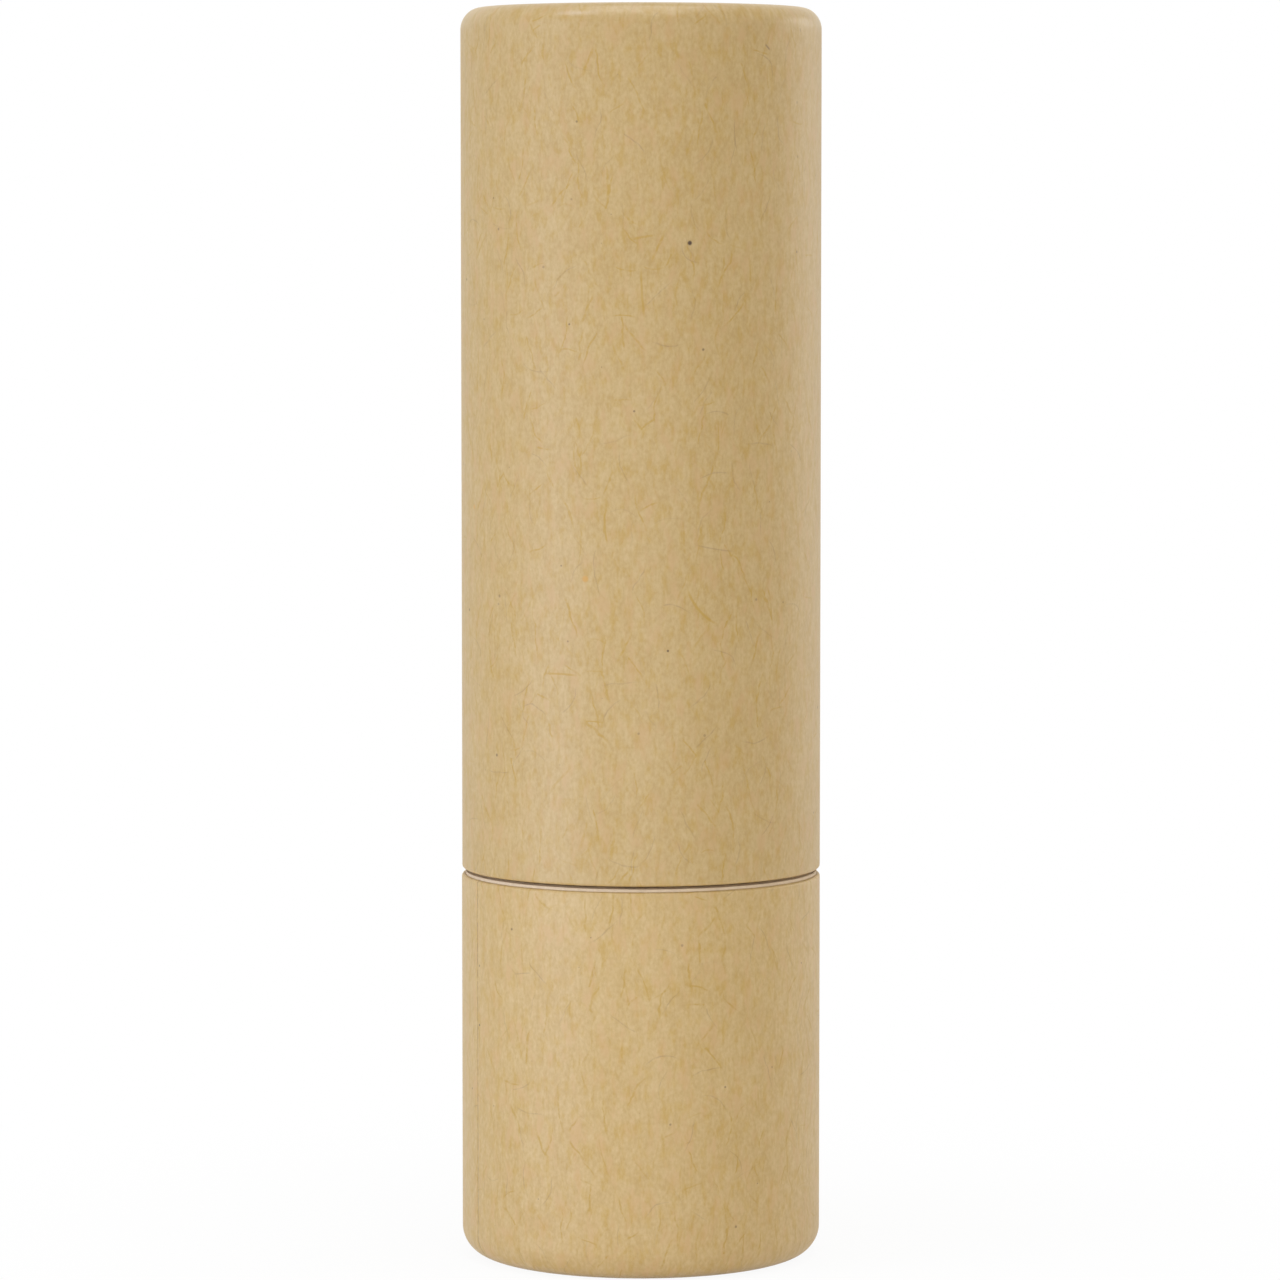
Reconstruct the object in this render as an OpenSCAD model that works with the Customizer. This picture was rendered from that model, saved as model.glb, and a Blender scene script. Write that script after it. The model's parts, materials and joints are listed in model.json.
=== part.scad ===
// Lip balm stick: a kraft paper tube with a pull-off cap and a twist-up mechanism.
// The origin is at the middle of the rim that it stands on, +Z is up, and the front faces -Y.
// The radii stack outwards from the balm to the paper wrap, and the heights upwards from that rim.
// It is drawn closed, with the balm wound down.

/* [Paper and board] */
// Thickness of the kraft paper wrap
wrap_t = 0.2; // [0.1:0.05:0.3]
// Wall of the wound board tubes
board_t = 0.85; // [0.6:0.05:1.5]
// Thickness of the white lining paper inside the tubes
lining_t = 0.15; // [0.1:0.05:0.3]
// Thickness of the board disc in each end
disc_t = 0.9; // [0.6:0.1:1.5]
// Thickness of the kraft paper that faces each disc
facing_t = 0.2; // [0.1:0.05:0.3]

/* [Rolled rims] */
// Depth of the disc below the cap's rolled rim
cap_recess = 1.6; // [1.4:0.1:3]
// Width of the cap's rolled rim
cap_rim_w = 2.6; // [2.4:0.1:3.5]
// Rounding of the cap rim's outer edge
cap_rim_r = 1.2; // [0.6:0.1:1.3]
// Depth of the disc above the foot's rolled rim
base_recess = 2; // [1.8:0.1:3]
// Width of the foot's rolled rim
base_rim_w = 3.2; // [3:0.1:4]
// Rounding of the foot rim's outer edge
base_rim_r = 1.6; // [0.6:0.1:1.7]
// Rounding of the inner edge of both rims
lip_r = 0.9; // [0.4:0.1:1]

/* [Seam] */
// Height of the base up to its mouth
base_h = 21.75; // [18:0.25:26]
// Gap between the mouths of base and cap when it is closed
seam_gap = 0.17; // [0.1:0.01:0.6]
// How far the base's wrap ends below the mouth, which leaves a ring of bare board
wrap_short = 0.14; // [0.02:0.02:0.4]

/* [Balm] */
// Diameter of the balm
balm_d = 12.1; // [9:0.1:14]
// Length of the balm from the cup's floor to its tip
balm_h = 34.1; // [28:0.1:40]
// Radius of the domed tip
dome_r = 12; // [8:0.5:20]
// How far the tip lies below the sleeve's mouth when it is wound down
tip_depth = 0.9; // [0.4:0.1:3]
// Room between the raised tip and the cap's disc
head_gap = 1.1; // [0.6:0.1:4]

/* [Twist-up movement] */
// How far the balm rises
lift = 21.5; // [15:0.5:26]
// Turns of the sleeve from down to fully up
lift_turns = 1.25; // [1:0.05:1.5]

/* [Carrier cup] */
// Wall of the cup
cup_wall = 0.4; // [0.3:0.05:0.8]
// Floor of the cup
cup_floor = 1; // [0.6:0.1:1.5]
// Height of the cup
cup_h = 11; // [8:0.5:16]
// Diameter of the two lugs
lug_d = 1.8; // [1.2:0.1:2.4]
// Height of the lugs above the cup's underside
lug_up = 2.2; // [2:0.1:4]
// Gap under the cup when it is wound down
cup_rest_gap = 0.3; // [0.2:0.05:1]

/* [Guide tube] */
// Wall of the slotted guide tube
guide_wall = 0.52; // [0.4:0.02:0.9]
// Thickness of its floor and flange
guide_floor = 0.8; // [0.5:0.1:1.5]
// Height of the foot that plugs into the base insert
foot_h = 4.4; // [3:0.1:8]
// Outer diameter of that foot
foot_d = 9.6; // [6:0.1:11]
// Wall of that foot
foot_wall = 1; // [0.6:0.1:1.5]
// Height of the snap lip at its top
snap_h = 0.5; // [0.3:0.05:1]
// How far the snap lip stands out over the spiral tube
snap_out = 0.3; // [0.15:0.05:0.5]
// How far its top lies below the sleeve's mouth
guide_depth = 0.25; // [0.1:0.05:1]

/* [Spiral tube and sleeve] */
// Wall of the spiral tube
spiral_wall = 0.8; // [0.7:0.05:1.2]
// Depth of its two helical grooves
groove_depth = 0.5; // [0.3:0.05:0.6]
// Wall of the outer sleeve
sleeve_wall = 0.4; // [0.3:0.05:0.8]
// Height of the collar that closes the base's mouth
collar_h = 0.5; // [0.3:0.1:1.5]
// Thickness of the drag ring
ring_d = 0.8; // [0.5:0.05:0.85]

/* [Base insert and cap liner] */
// Floor of the base insert
insert_floor = 1; // [0.6:0.1:1.5]
// Wall of the base insert
insert_wall = 0.47; // [0.3:0.01:1]
// Wall of the socket that grips the foot
socket_wall = 0.8; // [0.5:0.1:1.2]
// Length of the cap liner
liner_h = 22; // [15:0.5:23]
// Number of grip ribs in the cap liner
rib_count = 6; // [3:1:12]
// Radius of a grip rib
rib_r = 0.25; // [0.15:0.01:0.4]

/* [Clearances] */
// Gap round each part that slides or turns in another
run_gap = 0.08; // [0.05:0.01:0.1]
// Gap beside and above each lug
lug_gap = 0.1; // [0.05:0.01:0.2]
// Gap between the sleeve and what it turns in
turn_gap = 0.1; // [0.05:0.01:0.2]
// Gap between the sleeve and the tips of the grip ribs
grip_gap = 0.05; // [0.03:0.01:0.1]
// Height that a rib's tip stands into the liner's bore
rib_out = 0.07; // [0.03:0.01:0.1]
// End gap between parts that turn on each other
end_gap = 0.15; // [0.1:0.01:0.3]
// Gap between the drag ring and what it lies on
ring_gap = 0.02; // [0.01:0.01:0.05]

/* [Hidden] */
$fn = 96;

// Radii, from the balm outwards
balm_r = balm_d / 2;
cup_or = balm_r + cup_wall;
guide_ir = cup_or + run_gap;
guide_or = guide_ir + guide_wall;
spiral_ir = guide_or + run_gap;
spiral_or = spiral_ir + spiral_wall;
groove_r = spiral_ir + groove_depth;
sleeve_or = spiral_or + sleeve_wall;
rib_tip_r = sleeve_or + grip_gap;
liner_ir = rib_tip_r + rib_out;
insert_ir = sleeve_or + turn_gap;
lining_ir = insert_ir + insert_wall;
bore_r = lining_ir + lining_t;
board_r = bore_r + board_t;
body_r = board_r + wrap_t;
lug_tip_r = groove_r - run_gap;
foot_r = foot_d / 2;
collar_r = lining_ir - turn_gap;
ring_mid_r = guide_or + ring_gap + ring_d / 2;

// Heights, from the standing rim upwards
base_disc_z = base_recess + facing_t;
insert_z = base_disc_z + disc_t;
foot_z = insert_z + insert_floor;
flange_z = foot_z + foot_h;
flange_top = flange_z + guide_floor;
cup_z = flange_top + cup_rest_gap;
lug_z = cup_z + lug_up;
balm_z = cup_z + cup_floor;
tip_z = balm_z + balm_h;
mouth_z = tip_z + tip_depth;
guide_top = mouth_z - guide_depth;
snap_z = guide_top - snap_h;
sleeve_z = flange_top + end_gap;
ring_mid_z = flange_top + ring_gap + ring_d / 2;
spiral_z = flange_top + 2 * ring_gap + ring_d;
spiral_top = snap_z - end_gap;
collar_z = base_h - collar_h;
insert_top = collar_z - end_gap;
cap_z = base_h + seam_gap;
ceiling_z = tip_z + lift + head_gap;
cap_facing_z = ceiling_z + disc_t;
total_h = cap_facing_z + facing_t + cap_recess;
cap_h = total_h - cap_z;

// Helical grooves: right-handed, so the lugs rise as the sleeve turns clockwise seen from above
turn_deg = 360 * lift_turns;
lead = lift / lift_turns;
groove_slope = atan(lead / (2 * PI * spiral_ir));
groove_w = (lug_d + 2 * lug_gap) / cos(groove_slope);
lug_half_deg = asin((lug_d / 2 + lug_gap) / spiral_ir);
groove_step = 12;
groove_start = -360 * (lug_z - spiral_z + groove_w) / lead;
groove_steps = ceil((turn_deg + lug_half_deg - groove_start) / groove_step);
groove_out_r = groove_r / cos(groove_step / 2);
groove_in_r = guide_or;

// Flat piece of a section: from one radius to another and from one height to another
module band(r_lo, r_hi, z_lo, z_hi) {
    translate([r_lo, z_lo]) square([r_hi - r_lo, z_hi - z_lo]);
}

// What a rounding takes off a corner of a section; the corner lies out and up from the
// rounding's centre where those are 1, and in and down where they are 0
module corner(centre_r, centre_z, radius, out, up) {
    difference() {
        translate([centre_r - (1 - out) * radius, centre_z - (1 - up) * radius]) square(radius);
        translate([centre_r, centre_z]) circle(r = radius);
    }
}

// Section of a tube whose lower end is rolled in to a rounded rim; inset is its distance
// inside the paper surface
module rolled_tube(h, rim_w, recess, rim_r, inset) {
    r_hi = body_r - inset;
    r_lo = body_r - rim_w + inset;
    band(bore_r, r_hi, recess, h);
    difference() {
        band(r_lo, r_hi, inset, recess);
        corner(body_r - rim_r, rim_r, rim_r - inset, 1, 0);
        corner(body_r - rim_w + lip_r, lip_r, lip_r - inset, 0, 0);
    }
}

// Section of the paper that covers a rolled tube up to a height, with its cut edge rounded there
module wrap_section(h, rim_w, recess, rim_r) {
    difference() {
        rolled_tube(h, rim_w, recess, rim_r, 0);
        rolled_tube(h + wrap_t, rim_w, recess, rim_r, wrap_t);
        corner(board_r, h - wrap_t, wrap_t, 1, 1);
    }
}

// Turns a section that is drawn from its rim upwards round to the top of the cap
module from_top() {
    translate([0, total_h]) mirror([0, 1]) children();
}

module base_wrap() {
    color("burlywood")
        rotate_extrude() wrap_section(base_h - wrap_short, base_rim_w, base_recess, base_rim_r);
}

module base_tube() {
    color("wheat")
        rotate_extrude() rolled_tube(base_h, base_rim_w, base_recess, base_rim_r, wrap_t);
}

module base_lining() {
    color("white")
        rotate_extrude() band(lining_ir, bore_r, insert_z, base_h);
}

module base_end_disc() {
    color("wheat")
        translate([0, 0, base_disc_z]) cylinder(r = bore_r, h = disc_t);
}

module base_end_paper() {
    color("burlywood")
        translate([0, 0, base_recess]) cylinder(r = bore_r, h = facing_t);
}

// Cup that is glued into the base tube, with a socket for the guide tube's foot
module base_insert() {
    color("ivory")
        rotate_extrude() {
            band(0, lining_ir, insert_z, foot_z);
            band(insert_ir, lining_ir, insert_z, insert_top);
            band(foot_r, foot_r + socket_wall, insert_z, flange_z);
        }
}

// Outline of the two slots that keep the lugs from turning, seen from the side
module slot_outline() {
    half_w = lug_d / 2 + lug_gap;
    translate([-half_w, lug_z]) square([2 * half_w, lift]);
    for (z = [lug_z, lug_z + lift]) translate([0, z]) circle(r = half_w);
}

// Slotted tube that stands in the base and keeps the cup from turning
module guide_tube() {
    color("ivory")
        difference() {
            rotate_extrude() {
                band(foot_r - foot_wall, foot_r, foot_z, flange_z);
                band(0, spiral_or, flange_z, flange_top);
                band(guide_ir, guide_or, flange_z, guide_top);
                band(guide_ir, guide_or + snap_out, snap_z, guide_top);
            }
            translate([-spiral_or, 0, 0]) rotate([90, 0, 90])
                linear_extrude(2 * spiral_or) slot_outline();
        }
}

// Soft ring that makes the turning smooth and keeps the balm from sinking back
module drag_ring() {
    color("gray")
        translate([0, 0, ring_mid_z])
            rotate_extrude() translate([ring_mid_r, 0]) circle(d = ring_d);
}

// Cutter for one helical groove: an upright oblong swept along the helix
module groove() {
    angles = [for (i = [0 : groove_steps]) groove_start + i * groove_step];
    corners = [[groove_in_r, -0.5], [groove_out_r, -0.5], [groove_out_r, 0.5], [groove_in_r, 0.5]];
    points = [
        for (a = angles)
            for (c = corners)
                [c[0] * cos(a), c[0] * sin(a), lug_z + lead * a / 360 + c[1] * groove_w]
    ];
    n = len(corners);
    last = groove_steps * n;
    sides = [
        for (i = [0 : groove_steps - 1])
            for (k = [0 : n - 1])
                let (a = i * n + k, b = i * n + (k + 1) % n)
                    each [[a, b + n, a + n], [a, b, b + n]]
    ];
    start_cap = [[0, 2, 1], [0, 3, 2]];
    end_cap = [[last, last + 1, last + 2], [last, last + 2, last + 3]];
    polyhedron(points = points, faces = concat(sides, start_cap, end_cap), convexity = 10);
}

// Tube with two helical grooves that turns on the guide tube and lifts the lugs
module spiral_tube() {
    color("ivory")
        difference() {
            rotate_extrude() band(spiral_ir, spiral_or, spiral_z, spiral_top);
            for (side = [0, 180]) rotate([0, 0, side]) groove();
        }
}

// Smooth neck that is pressed over the spiral tube and that the cap grips
module sleeve() {
    edge = sleeve_wall / 2;
    color("ivory")
        rotate_extrude() {
            band(spiral_or, sleeve_or, sleeve_z, mouth_z - edge);
            translate([spiral_or + edge, mouth_z - edge]) circle(r = edge);
            band(spiral_or, collar_r, collar_z, base_h);
        }
}

// Cup that holds the balm, with a lug on each side
module carrier_cup() {
    color("ivory")
        difference() {
            union() {
                translate([0, 0, cup_z]) cylinder(r = cup_or, h = cup_h);
                intersection() {
                    translate([-lug_tip_r, 0, lug_z]) rotate([0, 90, 0])
                        cylinder(d = lug_d, h = 2 * lug_tip_r);
                    translate([0, 0, cup_z]) cylinder(r = lug_tip_r, h = cup_h);
                }
            }
            translate([0, 0, balm_z]) cylinder(r = balm_r, h = cup_h);
        }
}

module balm_stick() {
    color("lightyellow")
        rotate_extrude() {
            band(0, balm_r, balm_z, tip_z - dome_r);
            intersection() {
                band(0, balm_r, tip_z - dome_r, tip_z);
                translate([0, tip_z - dome_r]) circle(r = dome_r);
            }
        }
}

module cap_wrap() {
    color("burlywood")
        rotate_extrude() from_top() wrap_section(cap_h, cap_rim_w, cap_recess, cap_rim_r);
}

module cap_tube() {
    color("wheat")
        rotate_extrude() from_top() rolled_tube(cap_h, cap_rim_w, cap_recess, cap_rim_r, wrap_t);
}

module cap_lining() {
    color("white")
        rotate_extrude() band(lining_ir, bore_r, cap_z, ceiling_z);
}

module cap_end_disc() {
    color("wheat")
        translate([0, 0, ceiling_z]) cylinder(r = bore_r, h = disc_t);
}

module cap_end_paper() {
    color("burlywood")
        translate([0, 0, cap_facing_z]) cylinder(r = bore_r, h = facing_t);
}

// Ribbed liner that grips the sleeve
module cap_liner() {
    color("ivory")
        translate([0, 0, cap_z]) linear_extrude(liner_h) {
            difference() {
                circle(r = lining_ir);
                circle(r = liner_ir);
            }
            for (i = [0 : rib_count - 1])
                rotate((i + 0.5) * 360 / rib_count)
                    translate([rib_tip_r + rib_r, 0]) circle(r = rib_r);
        }
}

base_wrap();
base_tube();
base_lining();
base_end_disc();
base_end_paper();
base_insert();
guide_tube();
drag_ring();
spiral_tube();
sleeve();
carrier_cup();
balm_stick();
cap_wrap();
cap_tube();
cap_lining();
cap_end_disc();
cap_end_paper();
cap_liner();
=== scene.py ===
"""Lip balm stick in a kraft paper tube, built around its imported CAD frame.

Lengths are metres in the frame's own axes: +Z is up, -Y is the front and the stick stands on z = 0.
The paper wraps, board tubes, end faces, neck, cap grip and balm are surfaces worked out with numpy,
each in the place of its CAD node. The other CAD nodes keep their meshes and get a finish.
"""
import json
import math

import bpy
import numpy as np
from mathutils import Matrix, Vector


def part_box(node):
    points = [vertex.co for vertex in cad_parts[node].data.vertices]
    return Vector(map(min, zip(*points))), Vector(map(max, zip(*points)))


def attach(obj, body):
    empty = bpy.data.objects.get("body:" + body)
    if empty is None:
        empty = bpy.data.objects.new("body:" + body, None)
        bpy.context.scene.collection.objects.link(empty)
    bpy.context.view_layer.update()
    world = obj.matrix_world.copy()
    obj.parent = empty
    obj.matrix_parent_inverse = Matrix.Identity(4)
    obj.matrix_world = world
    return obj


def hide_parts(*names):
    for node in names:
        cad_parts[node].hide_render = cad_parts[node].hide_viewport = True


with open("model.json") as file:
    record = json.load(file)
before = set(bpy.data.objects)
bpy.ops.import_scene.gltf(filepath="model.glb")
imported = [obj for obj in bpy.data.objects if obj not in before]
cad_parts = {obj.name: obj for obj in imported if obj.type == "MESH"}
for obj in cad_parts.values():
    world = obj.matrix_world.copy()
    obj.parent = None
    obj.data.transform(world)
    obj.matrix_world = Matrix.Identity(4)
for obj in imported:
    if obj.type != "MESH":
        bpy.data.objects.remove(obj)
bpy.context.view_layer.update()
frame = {"nodes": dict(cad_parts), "record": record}

bl_info = {
    "name": "Lip balm stick",
    "version": (1, 0, 0),
    "blender": (4, 5, 0),
    "location": "View3D > Sidebar > Balm Stick",
    "description": "Builds a twist-up lip balm stick in a kraft paper tube around its CAD frame",
    "category": "Add Mesh",
}

MM = 0.001
SKIN_GAP = 0.006 * MM      # room left between a new surface and the CAD face that it follows
COLUMNS = 512              # columns round the paper and board tubes
PLIES = 3                  # plies in a wound board tube
SHEET = "sheet"            # UV map in metres: along the sheet's width, then its height
FINISHES = {}              # the finishes made so far, by the record's slot

# The camera, which takes a square picture
PICTURE = 1280             # pixels across the picture
LENS = 161.5               # focal length in millimetres
SENSOR = 36.0              # width of the sensor in millimetres
CAMERA_AT = (-0.00006, -0.3218, 0.0586)
CAMERA_DOWN = math.radians(4.253)


def reach(node):
    """Outer radius of a CAD node: the highest x of its box."""
    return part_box(node)[1].x


def low(node):
    """Lowest z of a CAD node."""
    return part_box(node)[0].z


def high(node):
    """Highest z of a CAD node."""
    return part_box(node)[1].z


def length(name, description, default):
    """A length that the user can change, in metres."""
    return bpy.props.FloatProperty(
        name=name, description=description, default=default, min=0.0, precision=5, unit="LENGTH")


def angle(name, description, degrees):
    """An angle that the user can change, given here in degrees."""
    return bpy.props.FloatProperty(
        name=name, description=description, default=math.radians(degrees), unit="ROTATION")


def colour(name, description, default):
    """A linear colour that the user can change."""
    return bpy.props.FloatVectorProperty(
        name=name, description=description, default=default, size=3, min=0.0, max=1.0,
        subtype="COLOR")


class BalmStickSizes(bpy.types.PropertyGroup):
    """Sizes of the pieces; most defaults come from the CAD frame."""
    radius: length("Tube radius", "Radius of the stick over its paper", reach("cap_wrap"))
    wrap: length("Wrap thickness", "Thickness of the kraft paper",
                 reach("cap_wrap") - reach("cap_tube"))
    bore: length("Bore radius", "Inner radius of the board tubes", reach("cap_lining"))
    lip: length("Lip rounding", "Rounding of the inner edge of both rims", 0.9 * MM)
    base_mouth: length("Base mouth", "Height of the base's board", high("base_tube"))
    base_paper_top: length("Base paper top", "Height at which the base's paper ends",
                           high("base_wrap") - 0.03 * MM)
    base_recess: length("Base recess", "Depth of the end face above the foot's rim",
                        low("base_end_paper"))
    base_rim: length("Base rim width", "Width of the foot's rolled rim", 3.2 * MM)
    base_round: length("Base rim rounding", "Rounding of the foot's outer edge", 1.6 * MM)
    cap_mouth: length("Cap mouth", "Height of the cap's lower edge", low("cap_tube"))
    cap_overhang: length("Cap overhang", "How far the cap's paper ends below its board", 0.055 * MM)
    crown: length("Mouth crown", "How far the board's cut mouths bulge towards each other", 0.05 * MM)
    cap_top: length("Cap top", "Height of the whole stick", high("cap_wrap"))
    cap_recess: length("Cap recess", "Depth of the end face below the cap's rim",
                       high("cap_wrap") - high("cap_end_paper"))
    cap_rim: length("Cap rim width", "Width of the cap's rolled rim", 2.6 * MM)
    cap_round: length("Cap rim rounding", "Rounding of the cap's outer edge", 1.2 * MM)
    base_lap: angle("Base lap seam", "Direction of the base paper's lap seam", 205.0)
    cap_lap: angle("Cap lap seam", "Direction of the cap paper's lap seam", 100.0)
    lap_step: length("Lap step", "Height of the paper's cut edge at the lap seam", 0.022 * MM)
    neck: length("Neck radius", "Outer radius of the neck", 8.33 * MM)
    neck_bore: length("Neck bore", "Inner radius of the neck", reach("spiral_tube"))
    collar_height: length("Collar height", "Height of the neck's collar", 0.5 * MM)
    grip_bore: length("Grip bore", "Inner radius of the cap's grip", 8.45 * MM)
    rib_tip: length("Rib tip radius", "Radius at the tips of the grip's ribs", 8.38 * MM)
    rib_round: length("Rib rounding", "Radius of a grip rib", 0.25 * MM)
    ribs: bpy.props.IntProperty(name="Ribs", description="Number of grip ribs", default=6, min=3)
    balm_dome: length("Balm dome", "Radius of the balm's domed tip", 12.0 * MM)


class BalmStickColours(bpy.types.PropertyGroup):
    """Colours of the finishes, as linear values."""
    kraft: colour("Kraft", "Plain kraft paper between its fibres", (0.466, 0.310, 0.112))
    kraft_pale: colour("Pale kraft", "Paler patches of the paper", (0.566, 0.413, 0.200))
    kraft_warm: colour("Warm kraft", "Warm, pinkish patches of the paper", (0.545, 0.352, 0.160))
    kraft_gold: colour("Golden fibre", "Golden fibres in the paper", (0.455, 0.275, 0.035))
    # Also the colour of the lap seam's darker line, which is partly painted shade at the lap's step
    kraft_hair_and_seam_shade: colour("Dark fibre", "Thin grey-brown fibres in the paper", (0.24, 0.15, 0.07))
    speck: colour("Speck", "Dark specks in the paper", (0.07, 0.035, 0.015))
    spot: colour("Spot", "Orange spots in the paper", (0.62, 0.30, 0.04))
    board: colour("Board", "Cut and wound board", (0.74, 0.59, 0.42))
    board_dark: colour("Board ply line", "Glue lines between the plies", (0.42, 0.30, 0.19))
    lining: colour("Lining paper", "White lining paper", (0.80, 0.77, 0.70))
    neck: colour("Neck", "Plastic of the neck", (0.80, 0.77, 0.70))
    inner: colour("Inner plastic", "Plastic of the hidden parts", (0.76, 0.74, 0.70))
    ring: colour("Drag ring", "Soft rubber ring", (0.50, 0.50, 0.49))
    balm: colour("Balm", "Waxy balm", (0.85, 0.77, 0.56))
    balm_pale: colour("Pale balm", "Paler bloom on the balm", (0.90, 0.86, 0.72))


# Sections: rows of (radius, height), counter-clockwise with the radius to the right, so that
# the surface turned from them faces outwards

def arc(centre, radius, start, stop, steps):
    """Part of a circle: centre plus radius times the cosine and sine of even angles, in degrees."""
    turn = np.radians(np.linspace(start, stop, steps))
    return np.stack([centre[0] + radius * np.cos(turn), centre[1] + radius * np.sin(turn)], 1)


def line(start, stop, steps):
    """A straight run: the two ends mixed in even shares."""
    share = np.linspace(0.0, 1.0, steps)[:, None]
    return (1 - share) * np.array(start) + share * np.array(stop)


def chain(*parts):
    """Parts of a section end to end, without the points that repeat."""
    points = np.concatenate(parts)
    step = np.linalg.norm(np.diff(points, axis=0), axis=1)
    return points[np.r_[True, step > 1e-8]]


def flip(section, top):
    """A section drawn upwards from the foot, hung from the top instead: height becomes top minus
    height, and the order is reversed so that it still runs counter-clockwise."""
    return np.stack([section[:, 0], top - section[:, 1]], 1)[::-1]


def rolled_path(sizes, rim, rounding, recess, height, inset, steps):
    """Section of a rolled tube, a distance inside its paper surface: down the lip's inner edge,
    round the lip, across the crest, round the rim and up the wall."""
    outer = sizes.radius - inset
    inner = sizes.radius - rim + inset
    lip_centre = (sizes.radius - rim + sizes.lip, sizes.lip)
    rim_centre = (sizes.radius - rounding, rounding)
    return chain(
        line((inner, recess), (inner, sizes.lip), steps),
        arc(lip_centre, sizes.lip - inset, 180, 270, 2 * steps),
        line((lip_centre[0], inset), (rim_centre[0], inset), 3),
        arc(rim_centre, rounding - inset, 270, 360, 2 * steps),
        line((outer, rounding), (outer, height), 4 * steps),
    )


def section_length(section):
    """Distance run along a section at each of its points."""
    return np.r_[0.0, np.cumsum(np.linalg.norm(np.diff(section, axis=0), axis=1))]


def section_normals(section, closed=True):
    """Outward unit normals: the neighbours' difference turned a quarter clockwise."""
    if closed:
        along = np.roll(section, -1, 0) - np.roll(section, 1, 0)
    else:
        along = np.gradient(section, axis=0)
    along /= np.linalg.norm(along, axis=1)[:, None]
    return np.stack([along[:, 1], -along[:, 0]], 1)


def columns_round(count, extra=()):
    """Angles of the columns from 0 to a full turn: even ones and some extra ones, sorted."""
    turns = np.r_[np.arange(count) * 2 * math.pi / count, np.mod(extra, 2 * math.pi)]
    turns = np.sort(turns)
    return turns[np.r_[True, np.diff(turns) > 1e-6]]


def smooth(value, start, stop):
    """Smooth step from 0 at start to 1 at stop: 3 t squared minus 2 t cubed."""
    t = np.clip((value - start) / (stop - start), 0.0, 1.0)
    return t * t * (3 - 2 * t)


def turned_points(section, turns, first, relief, closed=True):
    """A section carried round the axis. Point (row, column) is the section's point, moved by the
    relief along its normal, at the column's angle plus the first one."""
    normal = section_normals(section, closed)
    radius = section[:, :1] + normal[:, :1] * relief
    height = section[:, 1:] + normal[:, 1:] * relief
    return np.stack([radius * np.cos(turns + first), radius * np.sin(turns + first), height], 2)


def grid_object(name, points, sheet, closed_rows=True, poles=False):
    """A mesh from a grid of points, closed round its columns. The rows close on each other or end
    in two poles. The sheet holds the UV of each point, with one more column, and one more row
    where the rows close."""
    rows, columns = points.shape[:2]
    number = np.arange(rows * columns).reshape(rows, columns)
    if poles:
        number[0] = number[0, 0]
        number[-1] = number[-1, 0]
    ring = np.vstack([number, number[:1]]) if closed_rows else number
    ring = np.hstack([ring, ring[:, :1]])
    corners, places = (np.stack([grid[:-1, :-1], grid[:-1, 1:], grid[1:, 1:], grid[1:, :-1]], 2)
                       for grid in (ring, sheet))
    used = np.ones(corners.shape, bool)
    if poles:
        used[0, :, 1] = False
        used[-1, :, 3] = False
    sides = used.reshape(-1, 4).sum(1)
    corners = corners[used]
    kept, corners = np.unique(corners, return_inverse=True)
    mesh = bpy.data.meshes.new(name)
    mesh.vertices.add(len(kept))
    mesh.vertices.foreach_set("co", points.reshape(-1, 3)[kept].ravel())
    mesh.loops.add(len(corners))
    mesh.loops.foreach_set("vertex_index", corners.ravel().astype(np.int32))
    mesh.polygons.add(len(sides))
    mesh.polygons.foreach_set("loop_start", np.r_[0, np.cumsum(sides)[:-1]].astype(np.int32))
    mesh.polygons.foreach_set("use_smooth", np.ones(len(sides), bool))
    mesh.update(calc_edges=True)
    mesh.uv_layers.new(name=SHEET).data.foreach_set("uv", places[used].ravel())
    if mesh.validate():
        raise RuntimeError(f"the mesh of {name} had faults")
    piece = bpy.data.objects.new(name, mesh)
    bpy.context.scene.collection.objects.link(piece)
    return piece


def wound_sheet(section, turns, radius, level):
    """UV of a wound sheet in metres: the angle times the radius, and the distance along the
    section, shifted so that it equals the height where the section passes the given row."""
    run = section_length(np.vstack([section, section[:1]]))
    run += section[level, 1] - run[level]
    across = np.r_[turns, 2 * math.pi] * radius
    return np.stack(np.meshgrid(across, run), 2)


def wound_wall(name, section, turns, relief, radius, level, first=0.0, top=0.0):
    """A closed wall turned from a section and its relief, hung from the top where one is given."""
    if top:
        section = flip(section, top)
        relief = relief[::-1]
        level = len(section) - 1 - level
    points = turned_points(section, turns, first, relief)
    return grid_object(name, points, wound_sheet(section, turns, radius, level))


def flat_sheet(points, shift=0.0):
    """UV of a flat sheet: the x and y of each point, shifted to another part of the sheet."""
    ring = np.concatenate([points, points[:, :1]], 1)
    return ring[:, :, :2] + shift


def out_of_round(turns, heights):
    """Slow inward unevenness of a wound tube, from 0 to 1: three waves of two, three and five
    lobes whose phase drifts with the height."""
    turn, level = np.meshgrid(turns, heights / (70 * MM))
    wave = (np.cos(2 * turn + 1.3 + 2.1 * level) + 0.7 * np.cos(3 * turn - 0.4 + 4.7 * level)
            + 0.5 * np.cos(5 * turn + 2.2 - 7.9 * level))
    return 0.5 + wave / 4.4


def pleats(turns, count, width, seed):
    """Small folds of the paper where it is rolled in: bell curves of uneven depth and width at
    uneven angles. Gives 0 between the folds and up to 1 in one."""
    draw = np.random.default_rng(seed)
    at = (np.arange(count) + draw.uniform(-0.36, 0.36, count)) * 2 * math.pi / count
    depth = draw.uniform(0.25, 1.0, count)
    wide = width * draw.uniform(0.7, 1.5, count)
    off = np.angle(np.exp(1j * (turns[:, None] - at)))
    return (depth * np.exp(-(off / wide) ** 2)).max(1)


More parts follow.
